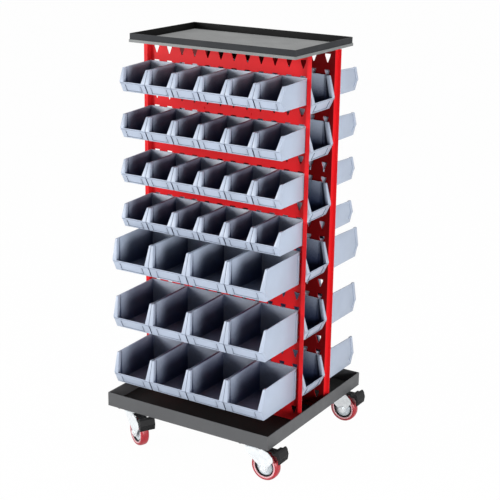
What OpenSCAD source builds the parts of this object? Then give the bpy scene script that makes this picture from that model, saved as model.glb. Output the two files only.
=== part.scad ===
// Bin trolley: four-sided mobile rack of slotted panels with hook-on open-front bins.
// X runs along the wide front, the front faces -Y, the floor is z = 0.

/* [Slots] */
// Spacing of the hook slots, across and up
slot_pitch = 51; // [48:0.5:54]
// Columns of slots in a wide panel
slot_columns = 12; // [12:1:12]
// Rows of slots in every panel
slot_rows = 24; // [20:1:24]
// Width of a slot at its wide upper end
slot_top_w = 20; // [14:0.5:24]
// Radius of the narrow lower end of a slot
slot_tip_r = 2.5; // [2:0.1:3.5]
// Height of a slot
slot_h = 28; // [24:0.5:32]

/* [Frame] */
// Thickness of the panel sheet
sheet_t = 2; // [1.5:0.1:2.5]
// Clear gap between the webs of the front and back panels
core_gap = 158; // [157:0.5:166]
// Depth of the folded edge of a wide panel
edge_d = 18; // [14:1:22]
// Width of the outer strip of a folded edge
edge_w = 14; // [12:0.5:14]
// Distance of the front of each recess panel from the middle plane
recess_x = 84; // [84:1:90]
// Width of the strip that fixes a recess panel to a web
recess_strip = 16; // [14:0.5:18]
// Clearance between pieces that are screwed face to face
seat_gap = 0.05; // [0.02:0.01:0.1]
// Level of the top of the panels
frame_top = 1375; // [1365:1:1395]
// Width of the feet and heads folded in from the webs
foot_w = 25; // [20:1:30]
// Diameter of the screws
screw_d = 5; // [4:0.5:6]

/* [Base pan] */
// Gap between the panels and the side walls of the pan
pan_side_gap = 1; // [0.5:0.5:10]
// Depth of the pan
pan_d = 645; // [620:1:700]
// Height of the pan walls
pan_h = 49; // [40:1:60]
// Thickness of the pan sheet
pan_t = 2.5; // [2:0.1:3]
// Thickness of the mat on the pan floor
pan_mat_t = 2; // [1:0.1:4]

/* [Top tray] */
// How far the tray reaches past the slotted webs at each side
tray_reach = 8; // [2:0.5:12]
// Depth of the tray
tray_d = 380; // [300:1:420]
// Height of the tray rim
tray_h = 27; // [16:1:40]
// Thickness of the tray sheet
tray_t = 2; // [1.5:0.1:2.5]
// Height of the upstand round the plate that holds the tray
skirt_h = 9; // [5:0.5:14]
// Thickness of the tray mat
tray_mat_t = 3; // [2:0.5:5]
// Gap all round the tray mat
tray_mat_gap = 8; // [1:0.5:20]

/* [Small bins] */
// Space between neighbouring bins in a row
bin_space = 1; // [0.5:0.25:4]
// Length of a small bin at its lip
small_len = 172; // [150:1:180]
// Height of a small bin
small_h = 78; // [70:1:86]
// Height of the lip of a small bin
small_lip = 34; // [28:1:40]
// Rim of the top row of small bins above its hook slots' tips
small_over = 19; // [12:1:22]

/* [Large bins] */
// Width of a large bin over its rim
large_w = 148; // [140:0.5:148]
// Length of a large bin at its lip
large_len = 228; // [200:1:236]
// Height of a large bin
large_h = 108; // [96:1:116]
// Height of the lip of a large bin
large_lip = 38; // [32:1:50]
// Rim of a large bin above its hook slots' tips
large_over = 12; // [10:1:20]
// Distance of the middle of a large row from the middle plane
large_shift = -6; // [-6:0.5:0]

/* [Bin details] */
// Wall thickness of a bin
bin_wall = 2.2; // [1.8:0.1:2.6]
// How far the rim stands out from the wall
rim_out = 2; // [1:0.25:3]
// Width of the thick front edge of a side wall, at the top
rim_face = 8; // [5:0.5:9]
// Width of that edge at the lip
rim_wide = 16; // [10:0.5:18]
// Depth of that edge from front to back
rim_deep = 14; // [10:0.5:18]
// Height of the thick band along the top of a wall
band_h = 5; // [3:0.5:8]
// Lean of the front lip and of the side openings
lip_lean = 18; // [10:1:24]
// Gap between a bin and its panel
bin_gap = 3; // [2.8:0.1:4]
// Depth of the label pocket
pocket_t = 1; // [0.5:0.1:1.4]
// Width of a hook
hook_w = 4.6; // [4:0.1:4.8]

/* [Casters] */
// Overall height of a caster
caster_h = 128; // [127:1:140]
// Wheel diameter
wheel_d = 100; // [94:1:102]
// Tread width of a wheel
wheel_w = 30; // [26:1:31]
// Thickness of the tyre
tyre_t = 9; // [7:0.5:12]
// Axle diameter
axle_d = 10; // [8:0.5:12]
// Radial clearance in the wheel bore, at the kingpin and at the pedal pin
run_gap = 0.05; // [0.03:0.01:0.1]
// Kingpin diameter
kingpin_d = 12; // [10:0.5:14]
// Offset of the axle from the swivel axis
trail = 44; // [42:1:46]
// Thickness of the fork and of the top plate
fork_t = 3; // [2.5:0.1:3.5]
// Clear width inside the fork
fork_gap = 35; // [34:0.5:38]
// Caster axis from the side walls of the pan
caster_in_x = 75.5; // [56:0.5:84]
// Caster axis from the front and back walls of the pan
caster_in_y = 46.5; // [44:0.5:80]
// Pivot pin diameter of a brake pedal
pedal_pin_d = 6; // [5:0.5:7]

/* [Hidden] */
$fn = 48;
e = 0.01;
red = "#c8202c";
bin_grey = "#a9b6c6";
pan_grey = "#646a6c";
dark = "#26282b";
zinc = "#c9ced2";

// Levels of the frame
floor_z = caster_h + pan_t;
panel_z = floor_z + pan_mat_t;
panel_h = frame_top - panel_z;
web_y = core_gap / 2;
web_half = slot_columns * slot_pitch / 2;
pan_w = 2 * (web_half + edge_w + pan_side_gap + pan_t);
tray_w = 2 * (web_half + tray_reach);
tray_z = frame_top + sheet_t;
tray_side = sheet_t + seat_gap;
tray_in = tray_w - 2 * tray_side;
caster_x = pan_w / 2 - caster_in_x;
caster_y = pan_d / 2 - caster_in_y;
small_w = 2 * slot_pitch - bin_space;
large_pitch = large_w + bin_space;
// Tip of the top slots: the slot and a strip of sheet stay under the top of the panel
slot_tip_z = frame_top - 44;
// Slots end where less than this height of sheet is left under them
foot_margin = 20;

// Places of the feet along a web, clear of the recess panels
foot_spans = [[-0.92, -0.4], [-0.2, 0.2], [0.4, 0.92]];
foot_screw_at = [-0.8, -0.5, 0, 0.5, 0.8];
// The strips are screwed on between the bins of the recess
strip_screw_z = [for (k = [3:4:19]) slot_tip_z - k * slot_pitch - 12];
strip_screw_x = recess_x - sheet_t + recess_strip - 7;
head_d = screw_d * 1.7;
head_h = 2.4;

// A hook's neck rests low in its slot and its tail drops behind the sheet
neck_up = 1.8;
neck_t = 2.5;
hook_gap = 0.4;
hook_drop = 9;

// Funnel slot: wide and flat at the top, narrow and round at the lower end, tip at the origin
module slot_shape() {
    shoulder = 6;
    polygon([[-slot_tip_r, slot_tip_r], [slot_tip_r, slot_tip_r],
             [slot_top_w / 2, slot_h - shoulder], [slot_top_w / 2, slot_h],
             [-slot_top_w / 2, slot_h], [-slot_top_w / 2, slot_h - shoulder]]);
    translate([0, slot_tip_r]) circle(r = slot_tip_r, $fn = 16);
}

// Slotted sheet in the XZ plane, front face at y = 0, columns centred on x = 0
module slotted_sheet(width, columns) {
    rotate([90, 0, 0]) translate([0, 0, -sheet_t]) linear_extrude(sheet_t) difference() {
        translate([-width / 2, panel_z]) square([width, panel_h]);
        for (c = [0:columns - 1], r = [0:slot_rows - 1])
            if (slot_tip_z - r * slot_pitch > panel_z + foot_margin)
                translate([(c - (columns - 1) / 2) * slot_pitch, slot_tip_z - r * slot_pitch]) slot_shape();
    }
}

// Wide panel facing -Y: slotted web, edges folded forward and outward, feet and heads folded in
module wide_panel() color(red) difference() {
    union() {
        translate([0, -web_y - sheet_t, 0]) slotted_sheet(2 * web_half + 2 * e, slot_columns);
        for (m = [0, 1]) mirror([m, 0, 0]) translate([0, 0, panel_z]) linear_extrude(panel_h)
            polygon([[web_half, -web_y], [web_half + sheet_t, -web_y], [web_half + sheet_t, -web_y - edge_d],
                     [web_half + edge_w, -web_y - edge_d], [web_half + edge_w, -web_y - edge_d - sheet_t],
                     [web_half, -web_y - edge_d - sheet_t]]);
        for (s = foot_spans, z = [panel_z, frame_top - sheet_t])
            translate([s[0] * web_half, -web_y - e, z]) cube([(s[1] - s[0]) * web_half, foot_w, sheet_t]);
    }
    foot_holes(panel_z - 1, sheet_t + 2);
    foot_holes(frame_top - sheet_t - 1, sheet_t + 2);
    for (sx = [-1, 1], z = strip_screw_z) translate([sx * strip_screw_x, -web_y + 1, z]) rotate([90, 0, 0])
        cylinder(d = screw_d + 2 * run_gap, h = sheet_t + 2);
}

// Holes for the screws through the feet of the front panel
module foot_holes(z, h) for (f = foot_screw_at)
    translate([f * web_half, -web_y + foot_w / 2, z]) cylinder(d = screw_d + 2 * run_gap, h = h);

// Recess panel facing +X between the webs, with a strip folded outward along each side
module recess_panel() color(red) difference() {
    depth = core_gap - 2 * (sheet_t + seat_gap);
    union() {
        translate([recess_x, 0, 0]) rotate([0, 0, 90]) slotted_sheet(depth, 3);
        for (m = [0, 1]) mirror([0, m, 0]) translate([recess_x - sheet_t, depth / 2 - e, panel_z + sheet_t + 1])
            cube([recess_strip, sheet_t + e, panel_h - 2 * sheet_t - 2]);
    }
    for (z = strip_screw_z) translate([strip_screw_x, web_y + 1, z]) rotate([90, 0, 0])
        cylinder(d = screw_d + 2 * run_gap, h = core_gap + 2);
}

// Screws that hold the recess panels to the webs, and the feet and heads to the pan and tray
module panel_screws() color(zinc) {
    for (my = [0, 1]) mirror([0, my, 0]) {
        for (sx = [-1, 1], z = strip_screw_z)
            translate([sx * strip_screw_x, -web_y - sheet_t, z]) rotate([90, 0, 0]) {
                cylinder(d = head_d, h = head_h);
                translate([0, 0, -2 * sheet_t - 4]) cylinder(d = screw_d, h = 2 * sheet_t + 4 + e);
                translate([0, 0, -2 * sheet_t - seat_gap - 4]) cylinder(d = screw_d * 1.8, h = 3.6, $fn = 6);
            }
        for (f = foot_screw_at) translate([f * web_half, -web_y + foot_w / 2, 0]) {
            translate([0, 0, panel_z + sheet_t]) cylinder(d = head_d, h = head_h);
            translate([0, 0, caster_h]) cylinder(d = screw_d, h = pan_t + pan_mat_t + sheet_t + e);
            translate([0, 0, frame_top - sheet_t - head_h]) cylinder(d = head_d, h = head_h);
            translate([0, 0, frame_top - sheet_t - e]) cylinder(d = screw_d, h = 2 * sheet_t + tray_t + e);
        }
    }
}

// Pan: floor and four walls
module base_pan() color(pan_grey) difference() {
    translate([-pan_w / 2, -pan_d / 2, caster_h]) cube([pan_w, pan_d, pan_h]);
    translate([-pan_w / 2 + pan_t, -pan_d / 2 + pan_t, floor_z]) cube([pan_w - 2 * pan_t, pan_d - 2 * pan_t, pan_h]);
    for (m = [0, 1]) mirror([0, m, 0]) foot_holes(caster_h - 1, pan_t + 2);
    for (sx = [-1, 1], sy = [-1, 1]) translate([sx * caster_x, sy * caster_y, 0])
        caster_screw_places() translate([0, 0, caster_h - 1]) cylinder(d = 8 + 2 * run_gap, h = pan_t + 2);
}

module pan_mat() color("#151617") difference() {
    translate([-pan_w / 2 + pan_t + 0.5, -pan_d / 2 + pan_t + 0.5, floor_z])
        cube([pan_w - 2 * pan_t - 1, pan_d - 2 * pan_t - 1, pan_mat_t]);
    for (m = [0, 1]) mirror([0, m, 0]) foot_holes(floor_z - 1, pan_mat_t + 2);
    for (sx = [-1, 1], sy = [-1, 1]) translate([sx * caster_x, sy * caster_y, 0])
        caster_screw_places() translate([0, 0, floor_z - 1]) cylinder(d = 18, h = pan_mat_t + 2);
}

// Plate on top of the panels, with an upstand that the tray sits in
module top_plate() color("#7a7e7d") difference() {
    translate([-tray_w / 2, -tray_d / 2, frame_top]) cube([tray_w, tray_d, skirt_h]);
    translate([-tray_w / 2 + sheet_t, -tray_d / 2 + sheet_t, tray_z])
        cube([tray_w - 2 * sheet_t, tray_d - 2 * sheet_t, skirt_h]);
    for (m = [0, 1]) mirror([0, m, 0]) foot_holes(frame_top - 1, sheet_t + 2);
}

module top_tray() color(dark) difference() {
    translate([-tray_in / 2, -tray_d / 2 + tray_side, tray_z]) cube([tray_in, tray_d - 2 * tray_side, tray_h]);
    translate([-tray_in / 2 + tray_t, -tray_d / 2 + tray_side + tray_t, tray_z + tray_t])
        cube([tray_in - 2 * tray_t, tray_d - 2 * tray_side - 2 * tray_t, tray_h]);
    for (m = [0, 1]) mirror([0, m, 0]) foot_holes(tray_z - 1, tray_t + 2);
}

module tray_mat() color("#94979a") {
    inset = tray_side + tray_t + tray_mat_gap;
    translate([-tray_w / 2 + inset, -tray_d / 2 + inset, tray_z + tray_t])
        cube([tray_w - 2 * inset, tray_d - 2 * inset, tray_mat_t]);
}

// Extrudes a side outline across a bin, centred; x of the outline runs forward from the back
module across(width) rotate([90, 0, 90]) linear_extrude(width, center = true) mirror([1, 0]) children();

// One open-front bin facing -Y: its back at y = 0, its rim at z = 0, centred on x = 0
module bin(w, len, h, lip, hook_z, hook_dx = 0, rib = false) {
    body_w = w - 2 * rim_out;
    inner_w = body_w - 2 * bin_wall;
    foot = len - lip_lean;
    translate([0, 0, -h]) difference() {
        union() {
            across(body_w) polygon([[0, 0], [foot, 0], [len, lip], [foot, h], [0, h]]);
            across(w) polygon([[0, h - band_h], [foot - rim_deep, h - band_h], [len - rim_deep, lip],
                [foot - rim_deep, 0], [foot, 0], [len, lip], [foot, h], [0, h]]);
            if (rib) across(w) polygon([[2, 16], [6, 8], [14, 5], [14, h], [2, h]]);
        }
        difference() {
            across(inner_w) polygon([[bin_wall, bin_wall], [foot - bin_wall, bin_wall],
                [len - bin_wall, lip - 1], [len - bin_wall, lip], [len + 1, lip], [len + 1, h + 1],
                [bin_wall, h + 1]]);
            intersection() {
                across(w) polygon([[len - rim_deep, lip - 2], [len + e, lip - 2], [len + e, lip],
                                   [foot + e, h + 2], [foot - rim_deep, h + 2]]);
                for (m = [0, 1]) mirror([m, 0, 0]) rotate([90, 0, 0]) linear_extrude(len + 1)
                    polygon([[w / 2 + 1, lip - 3], [w / 2 - rim_wide, lip - 3], [w / 2 - rim_wide, lip],
                             [w / 2 - rim_face, h], [w / 2 - rim_face, h + 3], [w / 2 + 1, h + 3]]);
            }
        }
        label_pocket(0.62 * w, len, lip);
    }
    for (s = [-1, 1]) translate([hook_dx + s * hook_half(w), 0, hook_z]) bin_hook();
}
// Half the distance between a bin's two hooks, in whole slots
function hook_half(w) = w > 2.5 * slot_pitch ? slot_pitch : slot_pitch / 2;

// Hook behind a bin: neck through the slot, tail down behind the sheet
module bin_hook() {
    back = bin_gap + sheet_t + hook_gap;
    rotate([90, 0, 90]) translate([0, 0, -hook_w / 2]) linear_extrude(hook_w)
        polygon([[-e, 0], [back, 0], [back, neck_t - hook_drop], [back + neck_t, neck_t - hook_drop],
                 [back + neck_t, neck_t], [-e, neck_t]]);
}

// Shallow pocket for a label in the leaning face of the lip
module label_pocket(pocket_w, len, lip) {
    across(pocket_w) polygon([[len - lip_lean * 0.82 - pocket_t, lip * 0.18],
        [len - lip_lean * 0.82 + 5, lip * 0.18], [len - lip_lean * 0.18 + 5, lip * 0.82],
        [len - lip_lean * 0.18 - pocket_t, lip * 0.82]]);
}

small_top = slot_tip_z - slot_pitch + small_over;
large_top = slot_tip_z - 12 * slot_pitch + large_over;

// Row r of six small bins on the front panel, counted from the top
module small_row(r) color(bin_grey) for (c = [0:5])
    translate([(c - 2.5) * 2 * slot_pitch, -web_y - sheet_t - bin_gap, small_top - (r - 1) * 3 * slot_pitch])
        bin(small_w, small_len, small_h, small_lip, neck_up - small_over);

// Row r of four large bins; their hooks stand where the slots are
module large_row(r) color(bin_grey) for (c = [0:3])
    translate([(c - 1.5) * large_pitch + large_shift, -web_y - sheet_t - bin_gap,
               large_top - (r - 1) * 4 * slot_pitch])
        bin(large_w, large_len, large_h, large_lip, neck_up - large_over,
            (c - 1.5) * (3 * slot_pitch - large_pitch) - large_shift, true);

// Column of six large bins in the right recess
module recess_column() color(bin_grey) for (k = [1, 4, 8, 12, 16, 20])
    translate([recess_x + bin_gap, 0, slot_tip_z - k * slot_pitch + large_over]) rotate([0, 0, 90])
        bin(large_w, large_len, large_h, large_lip, neck_up - large_over, 0, true);

// Casters, drawn about their swivel axis at x = y = 0 with the floor at z = 0
plate_size = [100, 80];
screw_at = [38, 29];
race_h = 8;
plate_z = caster_h - fork_t;
crown_z = plate_z - race_h - 0.3 - fork_t;
axle_z = wheel_d / 2;
pedal_x = 24;
pedal_z = crown_z - 7.7;
hub_r = wheel_d / 2 - tyre_t;
pedal_reach = trail + 68;
tread_half = 28;

module caster_screw_places() for (sx = [-1, 1], sy = [-1, 1])
    translate([sx * screw_at[0], sy * screw_at[1], 0]) children();

module caster_plate() color(zinc) {
    difference() {
        translate([-plate_size[0] / 2, -plate_size[1] / 2, plate_z]) cube([plate_size[0], plate_size[1], fork_t]);
        caster_screw_places() translate([0, 0, plate_z - 1]) cylinder(d = 8 + 2 * run_gap, h = fork_t + 2);
    }
    rotate_extrude() polygon([[0, plate_z + e], [33, plate_z + e], [33, plate_z - 3], [29, plate_z - race_h],
        [kingpin_d / 2, plate_z - race_h], [kingpin_d / 2, crown_z - 0.3], [11, crown_z - 0.3],
        [10, crown_z - 4], [0, crown_z - 4]]);
}

// Fork: round crown, two legs to the axle, and the riveted pedal pin between them
module fork() color(zinc) {
    leg_in = fork_gap / 2;
    leg_r = 16;
    difference() {
        union() {
            translate([0, 0, crown_z]) cylinder(r = 33, h = fork_t);
            for (m = [0, 1]) mirror([0, m, 0]) translate([0, leg_in + fork_t, 0]) rotate([90, 0, 0])
                linear_extrude(fork_t) {
                    polygon([[-27, crown_z + fork_t - 1], [27, crown_z + fork_t - 1], [60, pedal_z],
                             [76, pedal_z - 14], [80, pedal_z - 28], [trail + leg_r, axle_z + 2],
                             [trail - leg_r, axle_z + 2], [6, axle_z + 18], [-27, pedal_z - 8]]);
                    translate([trail, axle_z]) circle(r = leg_r);
                }
        }
        translate([0, 0, crown_z - 1]) cylinder(d = kingpin_d + 2 * run_gap, h = fork_t + 2);
        translate([trail, 60, axle_z]) rotate([90, 0, 0]) cylinder(d = axle_d + 2 * run_gap, h = 120);
    }
    translate([pedal_x, leg_in + fork_t + 1, pedal_z]) rotate([90, 0, 0])
        cylinder(d = pedal_pin_d, h = fork_gap + 2 * fork_t + 2);
}

module along_axle() translate([trail, 0, axle_z]) rotate([90, 0, 0]) children();

module hub() color("#b9bfc6") along_axle() rotate_extrude() polygon([
    [axle_d / 2 + run_gap, -fork_gap / 2 + 0.5], [12, -fork_gap / 2 + 0.5], [13, -wheel_w / 2 + 5],
    [hub_r - 7, -wheel_w / 2 + 7], [hub_r - 4, -wheel_w / 2 + 1], [hub_r, -wheel_w / 2 + 1],
    [hub_r, wheel_w / 2 - 1], [hub_r - 4, wheel_w / 2 - 1], [hub_r - 7, wheel_w / 2 - 7],
    [13, wheel_w / 2 - 5], [12, fork_gap / 2 - 0.5], [axle_d / 2 + run_gap, fork_gap / 2 - 0.5]]);

module tyre() color("#a8232e") along_axle() rotate_extrude($fn = 64) polygon([
    [hub_r + seat_gap, -wheel_w / 2 + 1], [hub_r + 3, -wheel_w / 2], [wheel_d / 2 - 5, -wheel_w / 2],
    [wheel_d / 2 - 1.2, -wheel_w / 2 + 4], [wheel_d / 2, -wheel_w / 2 + 10], [wheel_d / 2, wheel_w / 2 - 10],
    [wheel_d / 2 - 1.2, wheel_w / 2 - 4], [wheel_d / 2 - 5, wheel_w / 2], [hub_r + 3, wheel_w / 2],
    [hub_r + seat_gap, wheel_w / 2 - 1]]);

module axle() color(zinc) along_axle() {
    half = fork_gap / 2 + fork_t;
    translate([0, 0, -half - 1]) cylinder(d = axle_d, h = 2 * half + 2);
    for (s = [-1, 1]) translate([0, 0, s * (half + 3)]) cylinder(d = 17, h = 6, center = true, $fn = 6);
}

// Brake pedal: sleeve on the pin, arm over the wheel, and a broad tread with a lip turned down
module pedal() color(dark) difference() {
    sleeve_w = fork_gap - 2;
    union() {
        translate([pedal_x, sleeve_w / 2, pedal_z]) rotate([90, 0, 0]) cylinder(d = 11, h = sleeve_w);
        pedal_strip(26, [[pedal_x, pedal_z + 1], [pedal_reach - 30, pedal_z + 1.5],
                         [pedal_reach - 30, pedal_z + 5.5], [pedal_x, pedal_z + 5]]);
        translate([pedal_reach, 0, pedal_z]) pedal_strip(2 * tread_half,
            [[-32, 1.5], [-16, 0], [-8, -10], [-7, -28], [-3, -28], [0, -8], [-5, 10], [-10, 16], [-15, 15],
             [-22, 8], [-32, 7]]);
    }
    translate([pedal_x, 40, pedal_z]) rotate([90, 0, 0]) cylinder(d = pedal_pin_d + 2 * run_gap, h = 80);
}

module pedal_strip(width, outline) translate([0, width / 2, 0]) rotate([90, 0, 0]) linear_extrude(width)
    polygon(outline);

// The left casters are turned so that their treads reach as far out as those on the right
caster_turn = 2 * atan(tread_half / pedal_reach);
corners = [["fl", -1, -1, -caster_turn], ["fr", 1, -1, 0], ["bl", -1, 1, 180 - caster_turn], ["br", 1, 1, 0]];

module at_corner(c) translate([c[1] * caster_x, c[2] * caster_y, 0]) children();
module turned(c) at_corner(c) rotate([0, 0, c[3]]) children();

// Four screws with nuts at each corner
module caster_screws() color(zinc) for (c = corners) at_corner(c) caster_screw_places() {
    translate([0, 0, plate_z - 5]) cylinder(d = 14, h = 5, $fn = 6);
    translate([0, 0, plate_z - e]) cylinder(d = 8, h = fork_t + pan_t + 8);
    translate([0, 0, floor_z]) cylinder(d = 14, h = 6, $fn = 6);
}

base_pan();
pan_mat();
wide_panel();  // front_panel
mirror([0, 1, 0]) wide_panel();  // back_panel
recess_panel();  // right_recess_panel
mirror([1, 0, 0]) recess_panel();  // left_recess_panel
panel_screws();
top_plate();
top_tray();
tray_mat();
caster_screws();
for (r = [1:4]) {
    small_row(r);
    rotate([0, 0, 180]) small_row(r);
}
for (r = [1:3]) {
    large_row(r);
    rotate([0, 0, 180]) large_row(r);
}
recess_column();  // right_recess_bins
rotate([0, 0, 180]) recess_column();  // left_recess_bins
for (c = corners) {
    at_corner(c) caster_plate();
    turned(c) fork();
    turned(c) hub();
    turned(c) tyre();
    turned(c) axle();
    turned(c) pedal();
}
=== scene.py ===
import math

import bmesh
import bpy
from bpy.props import FloatProperty, FloatVectorProperty, IntProperty, PointerProperty
from mathutils import Matrix, Vector


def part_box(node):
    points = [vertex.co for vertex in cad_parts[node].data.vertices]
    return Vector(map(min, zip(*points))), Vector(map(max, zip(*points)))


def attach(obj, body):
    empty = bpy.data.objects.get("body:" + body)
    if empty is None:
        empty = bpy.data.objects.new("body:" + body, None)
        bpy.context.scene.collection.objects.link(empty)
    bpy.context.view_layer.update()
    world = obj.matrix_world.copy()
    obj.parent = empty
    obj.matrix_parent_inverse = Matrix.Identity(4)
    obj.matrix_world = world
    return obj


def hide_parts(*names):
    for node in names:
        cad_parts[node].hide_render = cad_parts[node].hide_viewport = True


bl_info = {
    "name": "Bin trolley",
    "version": (1, 0, 0),
    "blender": (4, 5, 0),
    "location": "3D View > Sidebar > Bin Trolley",
    "description": "Dresses the packed bin trolley and sets up its studio",
    "category": "Object",
}

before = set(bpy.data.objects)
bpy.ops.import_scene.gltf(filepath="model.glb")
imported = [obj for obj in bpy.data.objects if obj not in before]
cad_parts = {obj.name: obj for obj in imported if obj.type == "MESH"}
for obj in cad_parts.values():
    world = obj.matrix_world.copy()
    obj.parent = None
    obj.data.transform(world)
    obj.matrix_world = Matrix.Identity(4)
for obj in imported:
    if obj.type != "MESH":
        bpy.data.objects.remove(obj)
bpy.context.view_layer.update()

# Distances in metres, as the solids have them: from the middle to the backs of the bins
BIN_BACK = 0.084
RECESS_BIN_BACK = 0.087

# Spacing of the slots, and of the large bins on a wide panel
SLOT_PITCH = 0.051
LARGE_BIN_PITCH = 0.149

# Undersides of the hooks' necks, measured up from the rim of a bin
SMALL_HOOK_Z = -0.0172
LARGE_HOOK_Z = -0.0102

# Casters: swivel axes, the wheel's trail and height, and each caster's turn about its swivel axis
CORNERS = {"fl": (-1, -1), "fr": (1, -1), "bl": (-1, 1), "br": (1, 1)}
CASTER_AXIS = (0.248, 0.276)
TRAIL = 0.044
WHEEL_Z = 0.050
LEFT_TURN = 2 * math.atan(28 / 112)
TURNS = {"fl": -LEFT_TURN, "fr": 0.0, "bl": math.pi - LEFT_TURN, "br": 0.0}

# Rings on the sides of a wheel: inner radius, outer radius and distance of the face from the middle
PALE_RING = (0.0362, 0.0408, 0.0150)
DARK_RING = (0.0310, 0.0364, 0.0125)
RING_FOOT = 0.0085

# Lowest grip rib of a pedal, drawn about the swivel axis, and the step to the next one
RIB_LOW = (0.1086, -0.025, 0.0810)
RIB_HIGH = (0.1102, 0.025, 0.0824)
RIB_STEP = (0.00058, 0.0, 0.0038)
RIBS = 4


def colour_prop(name, description, default):
    return FloatVectorProperty(name=name, description=description, default=default, size=3,
                               subtype="COLOR", min=0.0, max=1.0)


def length_prop(name, description, default):
    return FloatProperty(name=name, description=description, default=default, min=0.0, subtype="DISTANCE",
                         unit="LENGTH", precision=4)


class BinSizes(bpy.types.PropertyGroup):
    """Sizes shared by the open-front bins"""
    wall: length_prop("Wall", "Thickness of the walls", 0.0022)
    rim_out: length_prop("Rim overhang", "How far the rim stands out from the walls", 0.002)
    post_width: length_prop("Post width", "Width of the thick front edge of a side wall, at the top", 0.008)
    post_wide: length_prop("Post foot", "Width of that edge at the lip", 0.016)
    post_depth: length_prop("Post depth", "Depth of that edge from front to back", 0.014)
    band: length_prop("Band", "Height of the thick band along the top of a wall", 0.005)
    rise: length_prop("Rise", "How far the rim rises from the front to the back", 0.006)
    lean: length_prop("Lean", "How far the lip leans forward", 0.018)
    small_lip: length_prop("Small lip", "Height of the lip of a small bin", 0.034)
    large_lip: length_prop("Large lip", "Height of the lip of a large bin", 0.038)
    edge_round: length_prop("Edge round", "Radius of the moulded edges", 0.0009)
    small_columns: IntProperty(name="Small columns", description="Small bins in a row", default=6, min=1)
    small_rows: IntProperty(name="Small rows", description="Rows of small bins on a side", default=4, min=1)
    large_columns: IntProperty(name="Large columns", description="Large bins in a row", default=4, min=1)
    large_rows: IntProperty(name="Large rows", description="Rows of large bins on a side", default=3, min=1)


class Colours(bpy.types.PropertyGroup):
    """Colours of the finishes"""
    bins: colour_prop("Bins", "Plastic of the bins", (0.40, 0.46, 0.57))
    panels: colour_prop("Panels", "Paint of the slotted panels", (0.70, 0.014, 0.019))
    pan: colour_prop("Pan", "Paint of the base pan", (0.082, 0.084, 0.088))
    tray: colour_prop("Tray", "Paint of the top tray", (0.022, 0.024, 0.027))
    skirt: colour_prop("Skirt", "Paint of the plate under the tray", (0.18, 0.19, 0.19))
    tray_mat: colour_prop("Tray mat", "Mat in the top tray", (0.28, 0.285, 0.285))
    rubber: colour_prop("Rubber", "Mat on the pan floor, and the inside of the tray", (0.006, 0.006, 0.006))
    tyre: colour_prop("Tyre", "Tread of the wheels", (0.40, 0.010, 0.022))
    ring: colour_prop("Ring", "Pale ring on the side of a tyre", (0.80, 0.45, 0.48))
    hub: colour_prop("Hub", "Centre of the wheels", (0.66, 0.72, 0.76))
    zinc: colour_prop("Zinc", "Plated forks, caster plates and axles", (0.84, 0.87, 0.89))
    black: colour_prop("Black", "Brake pedals, caster screws and dark wheel rings", (0.012, 0.012, 0.013))


class StageSizes(bpy.types.PropertyGroup):
    """Camera and floor"""
    lens: FloatProperty(name="Lens", description="Focal length for a 36 mm sensor", default=91.07, min=1.0,
                        subtype="DISTANCE_CAMERA")
    camera_distance: length_prop("Camera distance", "From the camera to the point it looks at", 4.3223)
    azimuth: FloatProperty(name="Azimuth", description="Camera's turn to the right of the front",
                           default=math.radians(31.456), subtype="ANGLE")
    elevation: FloatProperty(name="Elevation", description="Camera's height above the horizon",
                             default=math.radians(17.311), subtype="ANGLE")
    roll: FloatProperty(name="Roll", description="Camera's roll", default=math.radians(0.919), subtype="ANGLE")
    target: FloatVectorProperty(name="Target", description="Point the camera looks at",
                                default=(0.04735, 0.0, 0.6769), subtype="XYZ", unit="LENGTH")
    floor_size: length_prop("Floor size", "Side of the floor", 40.0)


def mesh_object(name, bm, finish):
    """A mesh object in the scene from a bmesh, with one material."""
    mesh = bpy.data.meshes.new(name)
    bm.to_mesh(mesh)
    bm.free()
    mesh.materials.append(finish)
    obj = bpy.data.objects.new(name, mesh)
    bpy.context.collection.objects.link(obj)
    return obj


def prism(bm, outline, left, right):
    """Closed prism along X: the outline is (y, z) points, from x = left to x = right."""
    loft(bm, [(left, y, z) for y, z in outline], [(right, y, z) for y, z in outline])


def loft(bm, start, end):
    """Closed solid between two outlines with the same number of points."""
    near = [bm.verts.new(p) for p in start]
    far = [bm.verts.new(p) for p in end]
    bm.faces.new(near)
    bm.faces.new(list(reversed(far)))
    for i, a in enumerate(near):
        j = (i + 1) % len(near)
        bm.faces.new((a, far[i], far[j], near[j]))


def round_edges(bm, width, segments=2, angle=math.radians(25)):
    """Merges doubles, points the faces outwards and rounds the sharp edges."""
    bmesh.ops.remove_doubles(bm, verts=bm.verts, dist=1e-6)
    bmesh.ops.recalc_face_normals(bm, faces=bm.faces)
    sharp = [e for e in bm.edges if len(e.link_faces) == 2 and e.calc_face_angle(0) > angle]
    bmesh.ops.bevel(bm, geom=sharp, offset=width, segments=segments, profile=0.5, affect="EDGES",
                    clamp_overlap=True)
    for face in bm.faces:
        face.smooth = True


def join(target, parts):
    """Adds the meshes of several bmeshes to one."""
    for part in parts:
        mesh = bpy.data.meshes.new("part")
        part.to_mesh(mesh)
        part.free()
        target.from_mesh(mesh)
        bpy.data.meshes.remove(mesh)


def node_at(tree, kind, **values):
    """A new node with some of its settings."""
    node = tree.nodes.new(kind)
    for key, value in values.items():
        setattr(node, key, value)
    return node


# Painted shade: the colour that pale plastic is painted towards deep inside a bin, where shade falls
PAINTED_HOLLOW_SHADE = (0.002, 0.009, 0.045)


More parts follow.
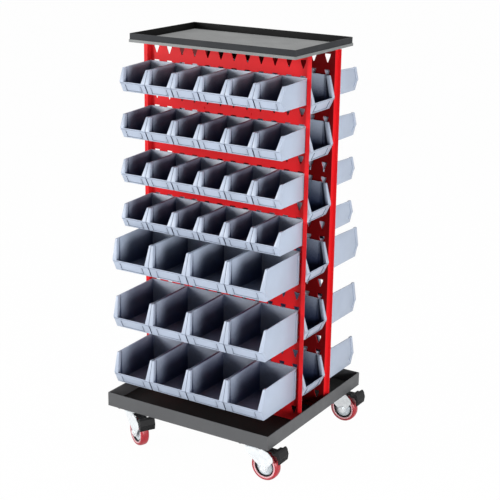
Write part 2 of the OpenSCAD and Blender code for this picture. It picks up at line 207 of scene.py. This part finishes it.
class Finish:
    """A procedural material under construction, in Object coordinates."""

    def __init__(self, name, colour, roughness, metallic=0.0, coat=0.0, shine=0.5):
        self.material = bpy.data.materials.new(name)
        self.material.use_nodes = True
        self.tree = self.material.node_tree
        self.shader = self.tree.nodes["Principled BSDF"]
        self.shader.inputs["Base Color"].default_value = (*colour, 1.0)
        self.shader.inputs["Roughness"].default_value = roughness
        self.shader.inputs["Metallic"].default_value = metallic
        self.shader.inputs["Specular IOR Level"].default_value = shine
        self.shader.inputs["Coat Weight"].default_value = coat
        self.shader.inputs["Coat Roughness"].default_value = 0.12
        self.colour = colour
        self.roughness = roughness
        self.place = self.tree.nodes.new("ShaderNodeTexCoord").outputs["Object"]

    def noise(self, scale, detail=3.0, stretch=(1, 1, 1)):
        """Cloudy noise on the piece's own place, stretched along an axis where asked."""
        mapping = self.tree.nodes.new("ShaderNodeMapping")
        mapping.inputs["Scale"].default_value = stretch
        noise = self.tree.nodes.new("ShaderNodeTexNoise")
        noise.inputs["Scale"].default_value = scale
        noise.inputs["Detail"].default_value = detail
        self.tree.links.new(self.place, mapping.inputs["Vector"])
        self.tree.links.new(mapping.outputs["Vector"], noise.inputs["Vector"])
        return noise.outputs["Fac"]

    def spread(self, fac, low, high):
        """The factor's middle range stretched to low..high."""
        node = self.tree.nodes.new("ShaderNodeMapRange")
        node.inputs["From Min"].default_value = 0.3
        node.inputs["From Max"].default_value = 0.7
        node.inputs["To Min"].default_value = low
        node.inputs["To Max"].default_value = high
        self.tree.links.new(fac, node.inputs["Value"])
        return node.outputs["Result"]

    def vary_colour(self, fac, darker):
        """Mottles the colour between a darker shade and itself."""
        mix = node_at(self.tree, "ShaderNodeMix", data_type="RGBA")
        mix.inputs["A"].default_value = (*[c * darker for c in self.colour], 1.0)
        mix.inputs["B"].default_value = (*self.colour, 1.0)
        self.tree.links.new(self.spread(fac, 0.0, 1.0), mix.inputs["Factor"])
        self.tree.links.new(mix.outputs["Result"], self.shader.inputs["Base Color"])

    def paint_hollow_shade(self, reach, open_from, open_to, darkest):
        """Paints shade into the base colour deep inside hollows of the piece, found by ambient occlusion."""
        # Painted shade: ambient occlusion finds the hollows and the base colour is darkened there
        hollow = node_at(self.tree, "ShaderNodeAmbientOcclusion", only_local=True, samples=12)
        hollow.inputs["Distance"].default_value = reach
        share = self.tree.nodes.new("ShaderNodeMapRange")
        for key, value in zip(("From Min", "From Max", "To Min"), (open_from, open_to, darkest)):
            share.inputs[key].default_value = value
        mix = node_at(self.tree, "ShaderNodeMix", data_type="RGBA")
        mix.inputs["A"].default_value = (*PAINTED_HOLLOW_SHADE, 1.0)
        now = self.shader.inputs["Base Color"].links[0].from_socket
        self.tree.links.new(hollow.outputs["AO"], share.inputs["Value"])
        self.tree.links.new(share.outputs["Result"], mix.inputs["Factor"])
        self.tree.links.new(now, mix.inputs["B"])
        self.tree.links.new(mix.outputs["Result"], self.shader.inputs["Base Color"])

    def recolour_inside(self, half_x, half_y, colour):
        """Another base colour for what lies inside a rectangle about the origin, seen from above."""
        axes = self.tree.nodes.new("ShaderNodeSeparateXYZ")
        self.tree.links.new(self.place, axes.inputs["Vector"])
        inside = []
        for axis, limit in (("X", half_x), ("Y", half_y)):
            far = node_at(self.tree, "ShaderNodeMath", operation="ABSOLUTE")
            within = node_at(self.tree, "ShaderNodeMath", operation="LESS_THAN")
            within.inputs[1].default_value = limit
            self.tree.links.new(axes.outputs[axis], far.inputs[0])
            self.tree.links.new(far.outputs[0], within.inputs[0])
            inside.append(within.outputs[0])
        both = node_at(self.tree, "ShaderNodeMath", operation="MULTIPLY")
        mix = node_at(self.tree, "ShaderNodeMix", data_type="RGBA")
        mix.inputs["B"].default_value = (*colour, 1.0)
        now = self.shader.inputs["Base Color"].links[0].from_socket
        for link_from, link_to in ((inside[0], both.inputs[0]), (inside[1], both.inputs[1]),
                                   (both.outputs[0], mix.inputs["Factor"]), (now, mix.inputs["A"]),
                                   (mix.outputs["Result"], self.shader.inputs["Base Color"])):
            self.tree.links.new(link_from, link_to)

    def vary_roughness(self, fac, by):
        """Makes the roughness wander about its value."""
        self.tree.links.new(self.spread(fac, self.roughness - by, self.roughness + by),
                            self.shader.inputs["Roughness"])

    def bump(self, fac, depth, strength=1.0):
        """Raises the surface by a factor, for light alone."""
        bump = self.tree.nodes.new("ShaderNodeBump")
        bump.inputs["Strength"].default_value = strength
        bump.inputs["Distance"].default_value = depth
        self.tree.links.new(fac, bump.inputs["Height"])
        self.tree.links.new(bump.outputs["Normal"], self.shader.inputs["Normal"])


def moulded_plastic(name, colour, hollow=0.12):
    """Satin plastic with a fine grain, a slight mottle and painted shade in its hollows."""
    finish = Finish(name, colour, 0.42)
    finish.vary_colour(finish.noise(9.0), 0.90)
    # Painted shade: the colour darkens deep in the hollows, by ambient occlusion
    finish.paint_hollow_shade(reach=hollow, open_from=0.40, open_to=0.66, darkest=0.02)
    finish.vary_roughness(finish.noise(30.0), 0.05)
    finish.bump(finish.noise(1400.0, 2.0), 0.00005, 0.4)
    return finish.material


def gloss_paint(name, colour, inner_face):
    """Gloss paint on sheet steel, with orange peel; painted shade between the inner faces of the wide panels.
    """
    finish = Finish(name, colour, 0.38, coat=0.02, shine=0.12)
    finish.vary_colour(finish.noise(5.0), 0.93)
    # Painted shade: a fifth of the colour on all that lies between the inner faces of the wide panels, the
    # recess panels included
    past_the_ends = 1.0
    finish.recolour_inside(past_the_ends, inner_face, [0.20 * part for part in colour])
    finish.vary_roughness(finish.noise(14.0), 0.05)
    finish.bump(finish.noise(420.0, 2.0), 0.00006, 0.35)
    return finish.material


def powder_coat(name, colour, shine=0.4, lining=None):
    """Fine-textured powder coat. A lining is half its length, half its width and its colour."""
    finish = Finish(name, colour, 0.48, shine=shine)
    finish.vary_colour(finish.noise(7.0), 0.90)
    if lining:
        finish.recolour_inside(*lining)
    finish.vary_roughness(finish.noise(25.0), 0.06)
    finish.bump(finish.noise(900.0, 3.0), 0.00012, 0.5)
    return finish.material


def ribbed_rubber(name, colour, pitch):
    """Rubber mat with fine ribs along X."""
    finish = Finish(name, colour, 0.75, shine=0.3)
    finish.vary_colour(finish.noise(12.0), 0.85)
    wave = finish.tree.nodes.new("ShaderNodeTexWave")
    wave.bands_direction = "Y"
    wave.inputs["Scale"].default_value = 0.314 / pitch
    finish.tree.links.new(finish.place, wave.inputs["Vector"])
    finish.bump(wave.outputs["Fac"], 0.0004, 0.6)
    return finish.material


def plated_steel(name, colour):
    """Zinc plate with a brushed grain."""
    finish = Finish(name, colour, 0.36, metallic=0.35)
    finish.vary_colour(finish.noise(60.0), 0.86)
    finish.vary_roughness(finish.noise(240.0, 2.0, (1, 1, 6)), 0.10)
    finish.bump(finish.noise(500.0, 2.0, (1, 1, 8)), 0.00003, 0.3)
    return finish.material


def cast_polyurethane(name, colour):
    """Slightly cloudy cast polyurethane."""
    finish = Finish(name, colour, 0.38)
    finish.vary_colour(finish.noise(40.0), 0.84)
    finish.vary_roughness(finish.noise(90.0), 0.07)
    finish.bump(finish.noise(300.0, 2.0), 0.00008, 0.3)
    finish.shader.inputs["Subsurface Weight"].default_value = 0.05
    finish.shader.inputs["Subsurface Scale"].default_value = 0.003
    return finish.material


def paint_node(node, material):
    """Gives a CAD node's object one material."""
    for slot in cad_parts[node].material_slots:
        slot.material = material


def group_socket(tree, name, kind, default=None, out=False):
    """A named input or output of a node tree."""
    socket = tree.interface.new_socket(name, in_out="OUTPUT" if out else "INPUT", socket_type=kind)
    if default is not None:
        socket.default_value = default
    return socket


def bin_rack_tree():
    """Bins on a grid in front of a panel, and the same on the opposite side."""
    tree = bpy.data.node_groups.new("Bin Rack", "GeometryNodeTree")
    group_socket(tree, "Geometry", "NodeSocketGeometry")
    group_socket(tree, "Columns", "NodeSocketInt", 6)
    group_socket(tree, "Rows", "NodeSocketInt", 4)
    group_socket(tree, "Across", "NodeSocketFloat", 0.1)
    group_socket(tree, "Down", "NodeSocketFloat", 0.15)
    group_socket(tree, "Middle", "NodeSocketVector")
    group_socket(tree, "Turn", "NodeSocketFloat", 0.0)
    group_socket(tree, "Finish", "NodeSocketMaterial")
    group_socket(tree, "Geometry", "NodeSocketGeometry", out=True)
    link = tree.links.new
    given = tree.nodes.new("NodeGroupInput").outputs

    def span(count, step):
        """Length from the first to the last of some equal steps."""
        less = node_at(tree, "ShaderNodeMath", operation="SUBTRACT")
        less.inputs[1].default_value = 1.0
        times = node_at(tree, "ShaderNodeMath", operation="MULTIPLY")
        link(given[count], less.inputs[0])
        link(less.outputs[0], times.inputs[0])
        link(given[step], times.inputs[1])
        return times.outputs[0]

    grid = tree.nodes.new("GeometryNodeMeshGrid")
    link(span("Columns", "Across"), grid.inputs["Size X"])
    link(span("Rows", "Down"), grid.inputs["Size Y"])
    link(given["Columns"], grid.inputs["Vertices X"])
    link(given["Rows"], grid.inputs["Vertices Y"])
    upright = tree.nodes.new("GeometryNodeTransform")
    upright.inputs["Rotation"].default_value = (math.pi / 2, 0, 0)
    link(grid.outputs["Mesh"], upright.inputs["Geometry"])
    link(given["Middle"], upright.inputs["Translation"])
    placed = tree.nodes.new("GeometryNodeInstanceOnPoints")
    link(upright.outputs["Geometry"], placed.inputs["Points"])
    link(given["Geometry"], placed.inputs["Instance"])
    angle = tree.nodes.new("ShaderNodeCombineXYZ")
    link(given["Turn"], angle.inputs["Z"])
    turned = tree.nodes.new("GeometryNodeTransform")
    link(placed.outputs["Instances"], turned.inputs["Geometry"])
    link(angle.outputs["Vector"], turned.inputs["Rotation"])
    other = tree.nodes.new("GeometryNodeTransform")
    other.inputs["Rotation"].default_value = (0, 0, math.pi)
    link(turned.outputs["Geometry"], other.inputs["Geometry"])
    both = tree.nodes.new("GeometryNodeJoinGeometry")
    link(turned.outputs["Geometry"], both.inputs["Geometry"])
    link(other.outputs["Geometry"], both.inputs["Geometry"])
    finish_tree(tree, both.outputs["Geometry"], given["Finish"])
    return tree


def row_tree():
    """Copies of one shape at equal steps."""
    tree = bpy.data.node_groups.new("Row of Copies", "GeometryNodeTree")
    group_socket(tree, "Geometry", "NodeSocketGeometry")
    group_socket(tree, "Count", "NodeSocketInt", 4)
    group_socket(tree, "Step", "NodeSocketVector")
    group_socket(tree, "Finish", "NodeSocketMaterial")
    group_socket(tree, "Geometry", "NodeSocketGeometry", out=True)
    given = tree.nodes.new("NodeGroupInput").outputs
    line = tree.nodes.new("GeometryNodeMeshLine")
    tree.links.new(given["Count"], line.inputs["Count"])
    tree.links.new(given["Step"], line.inputs["Offset"])
    placed = tree.nodes.new("GeometryNodeInstanceOnPoints")
    tree.links.new(line.outputs["Mesh"], placed.inputs["Points"])
    tree.links.new(given["Geometry"], placed.inputs["Instance"])
    finish_tree(tree, placed.outputs["Instances"], given["Finish"])
    return tree


def finish_tree(tree, geometry, material):
    """Ends a tree in Realize Instances and Set Material."""
    real = tree.nodes.new("GeometryNodeRealizeInstances")
    painted = tree.nodes.new("GeometryNodeSetMaterial")
    out = tree.nodes.new("NodeGroupOutput")
    tree.links.new(geometry, real.inputs["Geometry"])
    tree.links.new(real.outputs["Geometry"], painted.inputs["Geometry"])
    tree.links.new(material, painted.inputs["Material"])
    tree.links.new(painted.outputs["Geometry"], out.inputs["Geometry"])


def grow(obj, tree, values):
    """Runs a tree on an object with named inputs and keeps the result as its plain mesh."""
    modifier = obj.modifiers.new(tree.name, "NODES")
    modifier.node_group = tree
    sockets = {s.name: s.identifier for s in tree.interface.items_tree if s.in_out == "INPUT"}
    for name, value in values.items():
        modifier[sockets[name]] = value
    graph = bpy.context.evaluated_depsgraph_get()
    mesh = bpy.data.meshes.new_from_object(obj.evaluated_get(graph), depsgraph=graph)
    obj.modifiers.remove(modifier)
    old = obj.data
    obj.data = mesh
    bpy.data.meshes.remove(old)
    for poly in mesh.polygons:
        poly.use_smooth = True
    return obj


def bin_mesh(sizes, width, length, height, lip, hooks, hook_z, flanged):
    """One moulded bin: its back at y = 0, its rim at z = 0, facing -Y."""
    foot = length - sizes.lean
    half = width / 2 - sizes.rim_out

    # Faces of neighbouring parts stand this far apart, so that none lie in one plane
    lap = 0.0002

    def at(forward, up):
        return (-forward, up - height)

    def shell():
        """Walls, floor and lip, open at the top and above the lip."""
        bm = bmesh.new()
        top = height - 2 * lap
        prism(bm, [at(0, 0), at(foot, 0), at(length - lap, lip), at(foot - lap, top), at(0, top + sizes.rise)],
              -half, half)
        bmesh.ops.recalc_face_normals(bm, faces=bm.faces)
        open_faces = [f for f in bm.faces if f.normal.z > 0.2 and abs(f.normal.x) < 0.1]
        bmesh.ops.delete(bm, geom=open_faces, context="FACES_ONLY")
        bmesh.ops.solidify(bm, geom=bm.faces[:], thickness=sizes.wall)
        round_edges(bm, sizes.edge_round)
        return bm

    def rim(side):
        """Thick band along a side wall's top edge and the post at its front."""
        bm = bmesh.new()
        outer = side * width / 2
        wall = side * (half - sizes.wall * 0.6)
        post = side * (width / 2 - sizes.post_width)
        deep = sizes.post_depth
        ahead = sizes.rise * deep / 2 / foot
        prism(bm, [at(0, height + sizes.rise - sizes.band), at(foot - deep / 2, height + ahead - sizes.band),
                   at(foot - deep / 2, height + ahead - lap), at(0, height + sizes.rise - lap)],
              min(outer, wall) + lap, max(outer, wall) - lap)
        round_edges(bm, sizes.edge_round)
        front = bmesh.new()
        wide = side * (width / 2 - sizes.post_wide)
        outline = [(at(foot - deep, 0.4 * lip), wide), (at(foot - 0.6 * sizes.lean + 0.006, 0.4 * lip), wide),
                   (at(length, lip), wide), (at(foot, height), post), (at(foot - deep, height), post),
                   (at(length - deep, lip), wide)]
        loft(front, [(outer, *p) for p, _ in outline], [(inner, *p) for p, inner in outline])
        round_edges(front, sizes.edge_round * 1.3)
        join(bm, [front])
        return bm

    def label_holder():
        """Ledge and end rails that hold a label on the lip."""
        bm = bmesh.new()
        lean = Vector((0, -sizes.lean, lip)).normalized()
        out = Vector((0, -lip, -sizes.lean)).normalized()
        start = Vector((0, *at(foot, 0)))
        wide = 0.31 * width

        def rail(left, right, low, high, deep):
            corners = [start + lean * low, start + lean * low + out * deep,
                       start + lean * high + out * deep, start + lean * high]
            prism(bm, [(c.y, c.z) for c in corners], left, right)

        thick = 0.002
        low = 0.12 * lip
        high = 0.85 * lip
        rail(-wide, wide, low, low + thick, thick)
        rail(-wide, -wide + thick, low, high, thick)
        rail(wide - thick, wide, low, high, thick)
        rail(-half, half, lip * 0.96, lip * 1.03, 0.0016)
        round_edges(bm, 0.0003, 1)
        return bm

    def inner_rib(side):
        """Slim rib down the inside of a side wall, behind the post."""
        bm = bmesh.new()
        x = side * (half - sizes.wall)
        y = foot - sizes.post_depth - 0.006
        prism(bm, [at(y, sizes.wall), at(y + 0.0018, sizes.wall), at(y + 0.0018, height - 0.001),
                   at(y, height - 0.001)], min(x, x - side * 0.0014), max(x, x - side * 0.0014))
        round_edges(bm, 0.0003, 1)
        return bm

    def hook(x):
        """Neck through the slot and a tail down behind the sheet."""
        bm = bmesh.new()
        start = -0.001
        neck = 0.0054
        thick = 0.0025
        tail = 0.0065
        half_wide = 0.0023
        prism(bm, [(start, hook_z), (neck, hook_z), (neck, hook_z - tail), (neck + thick, hook_z - tail),
                   (neck + thick, hook_z + thick), (start, hook_z + thick)], x - half_wide, x + half_wide)
        round_edges(bm, 0.0004, 1)
        return bm

    def back_flange(side):
        """Stacking flange near the back of a large bin's side."""
        bm = bmesh.new()
        top = height - sizes.band - lap
        outline = [at(0.002, 0.016), at(0.006, 0.008), at(0.014, 0.005), at(0.014, top), at(0.002, top)]
        inside = side * (half - sizes.wall * 0.5)
        prism(bm, outline, min(side * width / 2, inside), max(side * width / 2, inside))
        round_edges(bm, 0.0006)
        return bm

    bm = bmesh.new()
    parts = [shell(), rim(-1), rim(1), label_holder(), inner_rib(-1), inner_rib(1)]
    parts += [hook(x) for x in hooks]
    if flanged:
        parts += [back_flange(-1), back_flange(1)]
    join(bm, parts)
    return bm


def add_piece(name, bm, finish, body):
    """A finished piece that rides on a body."""
    piece = mesh_object(name, bm, finish)
    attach(piece, body)
    return piece


class TrolleyOperator:
    """Shared options of the operators"""
    bl_options = {"REGISTER"}

    def settings(self, context):
        """The sizes of the bins and the colours."""
        scene = context.scene
        return scene.bin_sizes, scene.trolley_colours

    def hang_rows(self, name, sizes, finish, columns, rows, across, **shape):
        """Rows of one kind of bin on the front panel and the same on the back panel."""
        low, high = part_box(f"front_{name}_1")
        down = high[2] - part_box(f"front_{name}_2")[1][2]
        width = high[0] - low[0] - (columns - 1) * across
        one = bin_mesh(sizes, width, -low[1] - BIN_BACK, high[2] - low[2], **shape)
        piece = mesh_object(name, one, finish)
        middle = ((low[0] + high[0]) / 2, -BIN_BACK, high[2] - (rows - 1) * down / 2)
        grow(piece, bin_rack_tree(), {"Columns": columns, "Rows": rows, "Across": across, "Down": down,
                                      "Middle": middle, "Finish": finish})
        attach(piece, "rack")
        return piece


class TROLLEY_OT_small_bins(TrolleyOperator, bpy.types.Operator):
    """Small bins on the front and back panels"""
    bl_idname = "trolley.small_bins"
    bl_label = "Small Bins"

    def execute(self, context):
        sizes, colours = self.settings(context)
        finish = moulded_plastic("Small bin plastic", colours.bins)
        piece = self.hang_rows("small_bins", sizes, finish, sizes.small_columns, sizes.small_rows,
                               2 * SLOT_PITCH, lip=sizes.small_lip, hooks=(-SLOT_PITCH / 2, SLOT_PITCH / 2),
                               hook_z=SMALL_HOOK_Z, flanged=False)
        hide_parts(*[f"{side}_small_bins_{r}" for side in ("front", "back") for r in range(1, 5)])
        return {"FINISHED"}


class TROLLEY_OT_large_bins(TrolleyOperator, bpy.types.Operator):
    """Large bins on the front and back panels"""
    bl_idname = "trolley.large_bins"
    bl_label = "Large Bins"

    def execute(self, context):
        sizes, colours = self.settings(context)
        finish = moulded_plastic("Large bin plastic", colours.bins, 0.17)
        piece = self.hang_rows("large_bins", sizes, finish, sizes.large_columns, sizes.large_rows,
                               LARGE_BIN_PITCH, lip=sizes.large_lip, hooks=(-SLOT_PITCH, SLOT_PITCH),
                               hook_z=LARGE_HOOK_Z, flanged=True)
        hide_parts(*[f"{side}_large_bins_{r}" for side in ("front", "back") for r in range(1, 4)])
        return {"FINISHED"}


class TROLLEY_OT_recess_bins(TrolleyOperator, bpy.types.Operator):
    """Large bins one above another in the recesses at both ends"""
    bl_idname = "trolley.recess_bins"
    bl_label = "Recess Bins"

    def execute(self, context):
        sizes, colours = self.settings(context)
        low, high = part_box("right_recess_bins")
        width = high[1] - low[1]
        length = high[0] - RECESS_BIN_BACK
        large_low, large_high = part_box("front_large_bins_1")
        height = large_high[2] - large_low[2]
        finish = moulded_plastic("Recess bin plastic", colours.bins, 0.25)
        pitch = 4 * SLOT_PITCH
        for name, count, top in (("recess_bins_top", 1, high[2]), ("recess_bins", 5, high[2] - 3 * SLOT_PITCH)):
            one = bin_mesh(sizes, width, length, height, lip=sizes.large_lip, hooks=(-SLOT_PITCH, SLOT_PITCH),
                           hook_z=LARGE_HOOK_Z, flanged=True)
            piece = mesh_object(name, one, finish)
            grow(piece, bin_rack_tree(), {"Columns": 1, "Rows": count, "Across": width, "Down": pitch,
                                          "Middle": (0.0, -RECESS_BIN_BACK, top - (count - 1) * pitch / 2),
                                          "Turn": math.pi / 2, "Finish": finish})
            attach(piece, "rack")
            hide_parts("left_recess_bins", "right_recess_bins")
        return {"FINISHED"}


class TROLLEY_OT_frame(TrolleyOperator, bpy.types.Operator):
    """Paint of the panels, pan, plate, tray and mats"""
    bl_idname = "trolley.frame"
    bl_label = "Frame"

    def execute(self, context):
        _, colours = self.settings(context)
        inner_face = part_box("left_recess_panel")[1][1]
        # The red paint carries painted shade between the inner faces of the wide panels
        red = gloss_paint("Red paint", colours.panels, inner_face + 0.0005)
        tray_x, tray_y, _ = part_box("top_tray")[1]
        half_wall = 0.001
        lining = (tray_x - half_wall, tray_y - half_wall, colours.rubber)
        for side in ("front", "back", "left_recess", "right_recess"):
            paint_node(f"{side}_panel", red)
        paint_node("base_pan", powder_coat("Grey pan paint", colours.pan))
        paint_node("pan_mat", ribbed_rubber("Black pan mat", colours.rubber, 0.004))
        paint_node("top_plate", powder_coat("Grey skirt paint", colours.skirt))
        paint_node("top_tray", powder_coat("Dark tray paint", colours.tray, 0.12, lining))
        paint_node("tray_mat", ribbed_rubber("Grey tray mat", colours.tray_mat, 0.003))
        paint_node("panel_screws", red)
        paint_node("caster_screws", powder_coat("Caster screw black", colours.black, 0.15))
        return {"FINISHED"}


def caster_place(corner):
    """The matrix that takes a caster drawn about its swivel axis to its corner."""
    sx, sy = CORNERS[corner]
    return (Matrix.Translation((sx * CASTER_AXIS[0], sy * CASTER_AXIS[1], 0.0))
            @ Matrix.Rotation(TURNS[corner], 4, "Z"))


def ring(bm, section, place, steps=64):
    """Revolves a closed section of (radius, along) points round the wheel's axis."""
    rows = []
    for i in range(steps):
        turn = 2 * math.pi * i / steps
        rows.append([bm.verts.new(place @ Vector((r * math.cos(turn), along, r * math.sin(turn))))
                     for r, along in section])
    for i, row in enumerate(rows):
        following = rows[(i + 1) % steps]
        for k in range(len(section)):
            m = (k + 1) % len(section)
            bm.faces.new((row[k], row[m], following[m], following[k]))


def block(bm, low, high, place):
    """Box between two corners, moved by a matrix."""
    made = bmesh.ops.create_cube(bm, size=1.0)["verts"]
    for v in made:
        v.co = place @ Vector([(a + b) / 2 + c * (b - a) for a, b, c in zip(low, high, v.co)])


class TROLLEY_OT_pedal_ribs(TrolleyOperator, bpy.types.Operator):
    """Grip ribs across the treads of the brake pedals"""
    bl_idname = "trolley.pedal_ribs"
    bl_label = "Pedal Ribs"

    def execute(self, context):
        _, colours = self.settings(context)
        black = powder_coat("Black rib paint", colours.black, 0.15)
        tree = row_tree()
        for corner in CORNERS:
            place = caster_place(corner)
            bm = bmesh.new()
            block(bm, RIB_LOW, RIB_HIGH, place)
            round_edges(bm, 0.0004, 1)
            piece = mesh_object(f"pedal_ribs_{corner}", bm, black)
            step = place.to_3x3() @ Vector(RIB_STEP)
            grow(piece, tree, {"Count": RIBS, "Step": step, "Finish": black})
            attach(piece, f"brake_{corner}")
        return {"FINISHED"}


class TROLLEY_OT_casters(TrolleyOperator, bpy.types.Operator):
    """Finishes of the casters and the rings on their wheels"""
    bl_idname = "trolley.casters"
    bl_label = "Casters"

    def execute(self, context):
        _, colours = self.settings(context)
        zinc = plated_steel("Fork zinc", colours.zinc)
        black = powder_coat("Black caster paint", colours.black, 0.15)
        hub = moulded_plastic("Hub plastic", colours.hub)
        tread = cast_polyurethane("Tread", colours.tyre)
        pale = cast_polyurethane("Pale ring", colours.ring)
        for corner in CORNERS:
            paint_node(f"caster_plate_{corner}", zinc)
            paint_node(f"pedal_{corner}", black)
            paint_node(f"fork_{corner}", zinc)
            paint_node(f"axle_{corner}", zinc)
            paint_node(f"hub_{corner}", hub)
            paint_node(f"tyre_{corner}", tread)
            self.rings(f"pale_rings_{corner}", corner, PALE_RING, pale, "hub")
            self.rings(f"dark_rings_{corner}", corner, DARK_RING, black, "black")
        return {"FINISHED"}

    def rings(self, name, corner, radii_and_face, finish, slot):
        """A ring on each side of a wheel, with bevelled edges."""
        inner, outer, face = radii_and_face
        bevel = 0.0005
        place = caster_place(corner) @ Matrix.Translation((TRAIL, 0, WHEEL_Z))
        bm = bmesh.new()
        for side in (-1, 1):
            section = [(inner, side * RING_FOOT), (inner, side * (face - bevel)), (inner + bevel, side * face),
                       (outer - bevel, side * face), (outer, side * (face - bevel)), (outer, side * RING_FOOT)]
            ring(bm, section, place)
        bmesh.ops.recalc_face_normals(bm, faces=bm.faces)
        for made in bm.faces:
            made.smooth = True
        add_piece(name, bm, finish, f"wheel_{corner}")


def aimed(obj, target):
    """Turns a lamp so that it shines at a point."""
    direction = Vector(target) - obj.location
    obj.rotation_euler = direction.to_track_quat("-Z", "Y").to_euler()


def lamp(name, place, side, energy, target):
    """A square lamp that shines at a point."""
    data = bpy.data.lights.new(name, "AREA")
    data.shape = "SQUARE"
    data.size = side
    data.energy = energy
    obj = bpy.data.objects.new(name, data)
    obj.location = place
    bpy.context.collection.objects.link(obj)
    aimed(obj, target)


def white_floor():
    """Pale floor that camera, mirror and glass rays see as nearly white, with a soft shadow left on it."""
    material = bpy.data.materials.new("White floor")
    material.use_nodes = True
    tree = material.node_tree
    shader = tree.nodes["Principled BSDF"]
    shader.inputs["Base Color"].default_value = (0.86, 0.86, 0.86, 1.0)
    shader.inputs["Roughness"].default_value = 0.9
    glow = tree.nodes.new("ShaderNodeEmission")
    glow.inputs["Strength"].default_value = 1.0
    share = node_at(tree, "ShaderNodeMath", operation="MULTIPLY")
    share.inputs[1].default_value = 0.985
    tree.links.new(seen_ray(tree), share.inputs[0])
    mix = tree.nodes.new("ShaderNodeMixShader")
    tree.links.new(share.outputs[0], mix.inputs[0])
    tree.links.new(shader.outputs[0], mix.inputs[1])
    tree.links.new(glow.outputs[0], mix.inputs[2])
    tree.links.new(mix.outputs[0], tree.nodes["Material Output"].inputs["Surface"])
    return material


def seen_ray(tree):
    """1 for rays from the camera, a mirror-like surface or glass."""
    path = tree.nodes.new("ShaderNodeLightPath")
    first = node_at(tree, "ShaderNodeMath", operation="MAXIMUM")
    second = node_at(tree, "ShaderNodeMath", operation="MAXIMUM")
    tree.links.new(path.outputs["Is Camera Ray"], first.inputs[0])
    tree.links.new(path.outputs["Is Glossy Ray"], first.inputs[1])
    tree.links.new(first.outputs[0], second.inputs[0])
    tree.links.new(path.outputs["Is Transmission Ray"], second.inputs[1])
    return second.outputs[0]


class TROLLEY_OT_stage(bpy.types.Operator):
    """Camera, lamps, floor and world"""
    bl_idname = "trolley.stage"
    bl_label = "Stage"

    def execute(self, context):
        sizes = context.scene.stage_sizes
        scene = context.scene
        scene.view_settings.view_transform = "Standard"
        self.camera(scene, sizes)
        self.lamps()
        bm = bmesh.new()
        half = sizes.floor_size / 2
        bm.faces.new([bm.verts.new((x * half, y * half, 0.0)) for x, y in ((-1, -1), (1, -1), (1, 1), (-1, 1))])
        mesh_object("floor", bm, white_floor())
        self.world(scene)
        return {"FINISHED"}

    def camera(self, scene, sizes):
        """Places the camera by its angles, distance and roll about the target."""
        az, el, roll = sizes.azimuth, sizes.elevation, sizes.roll
        forward = Vector((-math.sin(az) * math.cos(el), math.cos(az) * math.cos(el), -math.sin(el)))
        right = Vector((math.cos(az), math.sin(az), 0.0))
        up = right.cross(forward)
        across = math.cos(roll) * right + math.sin(roll) * up
        upward = -math.sin(roll) * right + math.cos(roll) * up
        place = Vector(sizes.target) - forward * sizes.camera_distance
        data = bpy.data.cameras.new("camera")
        data.lens = sizes.lens
        data.sensor_width = 36.0
        camera = bpy.data.objects.new("camera", data)
        turn = Matrix((across, upward, -forward)).transposed().to_4x4()
        camera.matrix_world = Matrix.Translation(place) @ turn
        scene.collection.objects.link(camera)
        scene.camera = camera

    def lamps(self):
        """One lamp from the front left, one from the right and one from above."""
        middle = (0.0, 0.0, 0.7)
        lamp("key", (-3.2, -3.6, 1.9), 1.6, 180.0, middle)
        lamp("side", (4.0, -2.2, 1.1), 1.4, 155.0, middle)
        lamp("top", (0.3, 0.6, 4.2), 1.6, 55.0, middle)

    def world(self, scene):
        """Dim for the object, white for the rays that see it."""
        world = bpy.data.worlds.new("studio")
        world.use_nodes = True
        tree = world.node_tree
        background = tree.nodes["Background"]
        strength = node_at(tree, "ShaderNodeMapRange")
        strength.inputs["To Min"].default_value = 0.24
        strength.inputs["To Max"].default_value = 1.0
        tree.links.new(seen_ray(tree), strength.inputs["Value"])
        tree.links.new(strength.outputs["Result"], background.inputs["Strength"])
        background.inputs["Color"].default_value = (1.0, 1.0, 1.0, 1.0)
        scene.world = world


class TROLLEY_PT_panel(bpy.types.Panel):
    """Lists the steps of the bin trolley"""
    bl_label = "Bin Trolley"
    bl_idname = "TROLLEY_PT_panel"
    bl_space_type = "VIEW_3D"
    bl_region_type = "UI"
    bl_category = "Bin Trolley"

    def draw(self, context):
        for operator in OPERATORS:
            self.layout.operator(operator.bl_idname)


OPERATORS = (TROLLEY_OT_stage, TROLLEY_OT_frame, TROLLEY_OT_small_bins, TROLLEY_OT_large_bins,
             TROLLEY_OT_recess_bins, TROLLEY_OT_casters, TROLLEY_OT_pedal_ribs)
CLASSES = (BinSizes, Colours, StageSizes, *OPERATORS, TROLLEY_PT_panel)


def register():
    for cls in CLASSES:
        bpy.utils.register_class(cls)
    bpy.types.Scene.bin_sizes = PointerProperty(type=BinSizes)
    bpy.types.Scene.trolley_colours = PointerProperty(type=Colours)
    bpy.types.Scene.stage_sizes = PointerProperty(type=StageSizes)


def unregister():
    del bpy.types.Scene.stage_sizes
    del bpy.types.Scene.trolley_colours
    del bpy.types.Scene.bin_sizes
    for cls in reversed(CLASSES):
        bpy.utils.unregister_class(cls)


def main():
    register()
    bpy.ops.trolley.stage()
    bpy.ops.trolley.frame()
    bpy.ops.trolley.small_bins()
    bpy.ops.trolley.large_bins()
    bpy.ops.trolley.recess_bins()
    bpy.ops.trolley.casters()
    bpy.ops.trolley.pedal_ribs()


if __name__ == "__main__":
    main()
